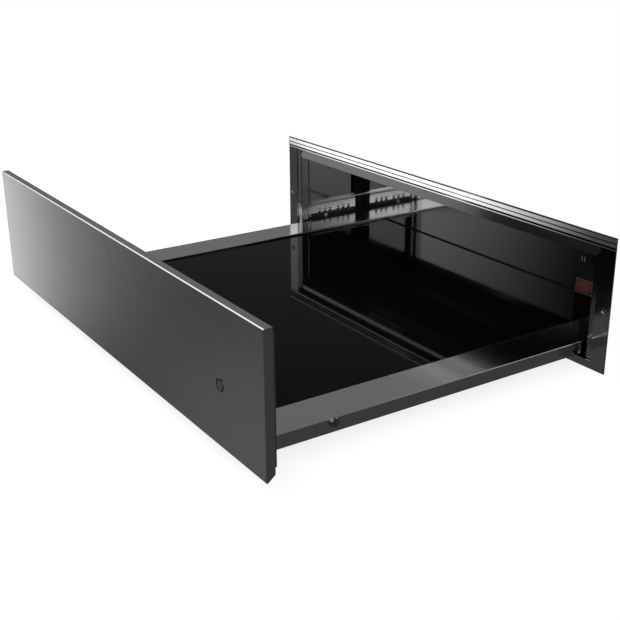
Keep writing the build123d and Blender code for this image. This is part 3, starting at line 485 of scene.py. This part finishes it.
def make_cover_screws():
    low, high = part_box("terminal_cover")
    inset, sink = 8.0 * MM, 1.3 * MM
    radius, foot, crown, spin = 2.6 * MM, 0.1 * MM, 1.25 * MM, 35.0
    xs = (low.x + inset, high.x - inset)
    zs = (low.z + inset, high.z - inset)
    places = [(x, high.y - sink, z) for x in xs for z in zs]
    piece = make_screws(
        "cover_screws", places, (0, 1, 0), radius, foot, crown, FINISHES["zinc"], "carcase", spin
    )


ROCKER_PIVOT_Y = 108.6 * MM
ROCKER_PIVOT_Z = 31.5 * MM
ROCKER_TILT = -7.0      # degrees at rest


def make_rocker_ridges():
    """Moulded ridges across the rocker's face, level with the tilted face, in a lighter red that is
    a painted highlight.
    """
    low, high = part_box("switch_rocker")
    pivot = Vector(((low.x + high.x) / 2, ROCKER_PIVOT_Y, ROCKER_PIVOT_Z))
    half_width, pitch, rise = 8.6 * MM, 2.1 * MM, 0.35 * MM
    half_height, root, rounding = 0.45 * MM, 0.3 * MM, 0.12 * MM
    face = 3.6 * MM         # in front of the pivot
    shape = bmesh.new()
    for i in (-2, -1, 0, 1, 2):
        add_block(
            shape,
            (-half_width, -face - rise, i * pitch - half_height),
            (half_width, -face + root, i * pitch + half_height),
        )
    bmesh.ops.bevel(shape, geom=list(shape.edges), offset=rounding, segments=2, affect="EDGES")
    turn = Matrix.Translation(pivot) @ Matrix.Rotation(math.radians(ROCKER_TILT), 4, "X")
    bmesh.ops.transform(shape, matrix=turn, verts=shape.verts)
    piece = finish_piece(shape, "rocker_ridges", FINISHES["red_painted_highlight"], "rocker")


def make_rocker_bezel():
    """Thin raised surround of the rocker's opening."""
    plate_low, plate_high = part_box("control_plate")
    middle_x = (plate_low.x + plate_high.x) / 2
    middle_z = ROCKER_PIVOT_Z
    inner = (10.9 * MM, 7.1 * MM)
    width, rise, slope = 1.1 * MM, 0.7 * MM, 0.2 * MM
    outer = (inner[0] + width, inner[1] + width)
    shape = bmesh.new()
    front, back = plate_low.y - rise, plate_low.y
    loops = []
    for half, y in (
        (inner, back),
        (inner, front),
        (outer, front + slope),
        (outer, back),
    ):
        across, up = half
        corners = [(-across, -up), (across, -up), (across, up), (-across, up)]
        loops.append([shape.verts.new((middle_x + cx, y, middle_z + cz)) for cx, cz in corners])
    loops.append(loops[0])
    for lower, upper in zip(loops, loops[1:]):
        for i in range(4):
            j = (i + 1) % 4
            shape.faces.new((lower[i], lower[j], upper[j], upper[i]))
    piece = finish_piece(shape, "rocker_bezel", FINISHES["bezel"], "drawer")


def make_dial_grip_highlight():
    """Two light-grey lines along the edges of the dial's grip: a painted highlight."""
    low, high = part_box("thermostat_dial")
    middle_x = (low.x + high.x) / 2
    middle_z = (low.z + high.z) / 2
    spread, half_width, proud, root = 2.0 * MM, 0.45 * MM, 0.12 * MM, 0.3 * MM
    outer_end, inner_end, rounding = 9.4 * MM, 3.0 * MM, 0.05 * MM
    shape = bmesh.new()
    for side in (-1, 1):
        line_x = middle_x + side * spread
        add_block(
            shape,
            (line_x - half_width, low.y - proud, middle_z - outer_end),
            (line_x + half_width, low.y + root, middle_z - inner_end),
        )
    bmesh.ops.bevel(shape, geom=list(shape.edges), offset=rounding, segments=1, affect="EDGES")
    piece = finish_piece(shape, "dial_grip_highlight", FINISHES["grip_highlight_grey"], "dial")


# ---------------------------------------------------------------- studio
FLOOR_REACH = 9.0
TENT_RADIUS = 8.0
CARD_OUTER_X = 4.0
CARD_TOP = 4.0
CARD_HOLE_X = 0.2835
CARD_HOLE_TOP = 0.1378
CARD_Y = 0.0003
FLOOR_GLOW = 0.82
WORLD_LIGHT = 0.55
WHITE = (1.0, 1.0, 1.0, 1.0)


def mesh_object(name, vertices, faces):
    mesh = bpy.data.meshes.new(name)
    mesh.from_pydata([Vector(v) for v in vertices], [], faces)
    mesh.update()
    piece = bpy.data.objects.new(name, mesh)
    bpy.context.scene.collection.objects.link(piece)
    return piece


def seen_only_by(piece, *rays):
    for ray in ("camera", "diffuse", "glossy", "transmission", "shadow", "volume_scatter"):
        setattr(piece, "visible_" + ray, ray in rays)


def make_floor():
    """Pale floor. It clips to white where nothing shades it and keeps the shadow."""
    reach = FLOOR_REACH
    corners = [(-reach, -reach, 0), (reach, -reach, 0), (reach, reach, 0), (-reach, reach, 0)]
    floor = mesh_object("floor", corners, [(0, 1, 2, 3)])
    material, graph, shader = new_material("floor_white", Roughness=1.0)
    shader.inputs["Specular IOR Level"].default_value = 0.0
    cloud = graph.noise(graph.place(), 2.0, 2.0, 0.5)
    colour = graph.mix_colour(cloud, 0.34, 0.36)
    graph.link(colour, shader.inputs["Base Color"])
    shader.inputs["Emission Color"].default_value = WHITE
    shader.inputs["Emission Strength"].default_value = FLOOR_GLOW
    material.cycles.emission_sampling = "NONE"
    floor.data.materials.append(material)
    floor.visible_glossy = False
    floor.visible_diffuse = True


def make_card():
    """White cabinet face round the flange. It hides the carcase from the front, and it is
    clear from behind."""
    xs = (-CARD_OUTER_X, -CARD_HOLE_X, CARD_HOLE_X, CARD_OUTER_X)
    zs = (0.0, CARD_HOLE_TOP, CARD_TOP)
    points = [(x, CARD_Y, z) for z in zs for x in xs]
    faces = [(0, 1, 5, 4), (2, 3, 7, 6), (4, 5, 9, 8), (5, 6, 10, 9), (6, 7, 11, 10)]
    card = mesh_object("white_card", points, faces)
    material = bpy.data.materials.new("card_white")
    material.use_nodes = True
    graph = Graph(material.node_tree)
    material.node_tree.nodes.clear()
    white = graph.add("ShaderNodeEmission")
    white.inputs["Strength"].default_value = 1.0
    clear = graph.add("ShaderNodeBsdfTransparent")
    side = graph.add("ShaderNodeNewGeometry")
    mix = graph.add("ShaderNodeMixShader")
    graph.link(side.outputs["Backfacing"], mix.inputs[0])
    graph.link(white.outputs[0], mix.inputs[1])
    graph.link(clear.outputs[0], mix.inputs[2])
    out = graph.add("ShaderNodeOutputMaterial")
    graph.link(mix.outputs[0], out.inputs["Surface"])
    material.cycles.emission_sampling = "NONE"
    card.data.materials.append(material)
    seen_only_by(card, "camera")


def make_tent():
    """Studio tent that only reflections see: a dark surround with soft light panels."""
    shape = bmesh.new()
    bmesh.ops.create_uvsphere(shape, u_segments=96, v_segments=48, radius=TENT_RADIUS)
    mesh = bpy.data.meshes.new("tent")
    shape.to_mesh(mesh)
    shape.free()
    tent = bpy.data.objects.new("tent", mesh)
    bpy.context.scene.collection.objects.link(tent)
    material = bpy.data.materials.new("tent_panels")
    material.use_nodes = True
    graph = Graph(material.node_tree)
    material.node_tree.nodes.clear()
    coordinates = graph.add("ShaderNodeTexCoord")
    split = graph.add("ShaderNodeSeparateXYZ")
    graph.link(coordinates.outputs["Object"], split.inputs[0])
    x, y, z = (graph.math("DIVIDE", split.outputs[i], TENT_RADIUS) for i in range(3))
    # Angle round from the left side (-X), positive towards the front, and height, in degrees.
    round_angle = graph.math(
        "ARCTAN2", graph.math("MULTIPLY", y, -1.0), graph.math("MULTIPLY", x, -1.0)
    )
    round_angle = graph.math("MULTIPLY", round_angle, 180 / math.pi)
    rise = graph.math("MULTIPLY", graph.math("ARCSINE", z), 180 / math.pi)

    def window(value, low, high, soft_low, soft_high):
        opens = graph.ramp(value, low - soft_low, low + soft_low, 0.0, 1.0, True)
        shuts = graph.ramp(value, high - soft_high, high + soft_high, 1.0, 0.0, True)
        return graph.math("MULTIPLY", opens, shuts)

    total = TENT_SHADE
    for strength, around, up in TENT_PANELS:
        part = graph.math("MULTIPLY", window(round_angle, *around), window(rise, *up))
        total = graph.math("MULTIPLY_ADD", part, strength, total)
    glow = graph.add("ShaderNodeEmission")
    graph.feed(glow.inputs["Strength"], total)
    out = graph.add("ShaderNodeOutputMaterial")
    graph.link(glow.outputs[0], out.inputs["Surface"])
    material.cycles.emission_sampling = "NONE"
    tent.data.materials.append(material)
    seen_only_by(tent, "glossy")


TENT_SHADE = 0.07
# strength, (round from, round to, softness at each), (height from, height to, softness)
TENT_PANELS = [
    (1.8, (8.0, 44.0, 1.0, 6.0), (15.0, 50.0, 0.8, 4.0)),
    (0.22, (-8.0, 44.5, 8.0, 1.5), (-6.0, 10.0, 2.0, 1.5)),
    (1.9, (-8.0, 18.5, 8.0, 1.8), (-22.0, -9.0, 4.0, 3.0)),
    (0.1, (27.0, 42.0, 4.0, 4.0), (-36.0, -22.0, 4.0, 4.0)),
    (0.15, (-60.0, 4.0, 20.0, 3.0), (8.0, 35.0, 6.0, 6.0)),
    (0.5, (-72.0, -49.0, 4.0, 3.0), (12.0, 30.0, 4.0, 5.0)),
    (0.6, (-60.0, 8.0, 20.0, 6.0), (50.0, 80.0, 12.0, 10.0)),
    (1.6, (110.0, 172.0, 6.0, 6.0), (8.0, 45.0, 5.0, 8.0)),
    (0.8, (-140.0, -85.0, 15.0, 15.0), (12.0, 50.0, 10.0, 10.0)),
]


def make_world():
    world = bpy.data.worlds.new("studio")
    bpy.context.scene.world = world
    world.use_nodes = True
    graph = Graph(world.node_tree)
    world.node_tree.nodes.clear()
    path = graph.add("ShaderNodeLightPath")
    seen = graph.math("MAXIMUM", path.outputs["Is Camera Ray"], path.outputs["Is Glossy Ray"])
    seen = graph.math("MAXIMUM", seen, path.outputs["Is Transmission Ray"])
    white = graph.add("ShaderNodeBackground")
    white.inputs["Strength"].default_value = 1.0
    white.inputs["Color"].default_value = WHITE
    plain = graph.add("ShaderNodeBackground")
    plain.inputs["Strength"].default_value = WORLD_LIGHT
    plain.inputs["Color"].default_value = WHITE
    mix = graph.add("ShaderNodeMixShader")
    graph.link(seen, mix.inputs[0])
    graph.link(plain.outputs[0], mix.inputs[1])
    graph.link(white.outputs[0], mix.inputs[2])
    out = graph.add("ShaderNodeOutputWorld")
    graph.link(mix.outputs[0], out.inputs["Surface"])


def make_lamp(name, place, size, energy):
    """Square lamp aimed at the origin."""
    data = bpy.data.lights.new(name, "AREA")
    data.shape = "SQUARE"
    data.size = size
    data.energy = energy
    lamp = bpy.data.objects.new(name, data)
    lamp.location = place
    lamp.rotation_euler = (-Vector(place)).to_track_quat("-Z", "Y").to_euler()
    lamp.visible_glossy = False
    bpy.context.scene.collection.objects.link(lamp)


make_camera()
make_world()
make_floor()
make_card()
make_tent()
make_lamp("key", place=(-2.2, -1.6, 2.6), size=2.4, energy=42.0)
make_lamp("fill", place=(2.4, -2.2, 1.6), size=2.0, energy=12.0)
dress_nodes()
make_flange_screws()
make_cover_screws()
make_rocker_ridges()
make_rocker_bezel()
make_dial_grip_highlight()

view = bpy.context.scene.view_settings
view.view_transform = "Standard"
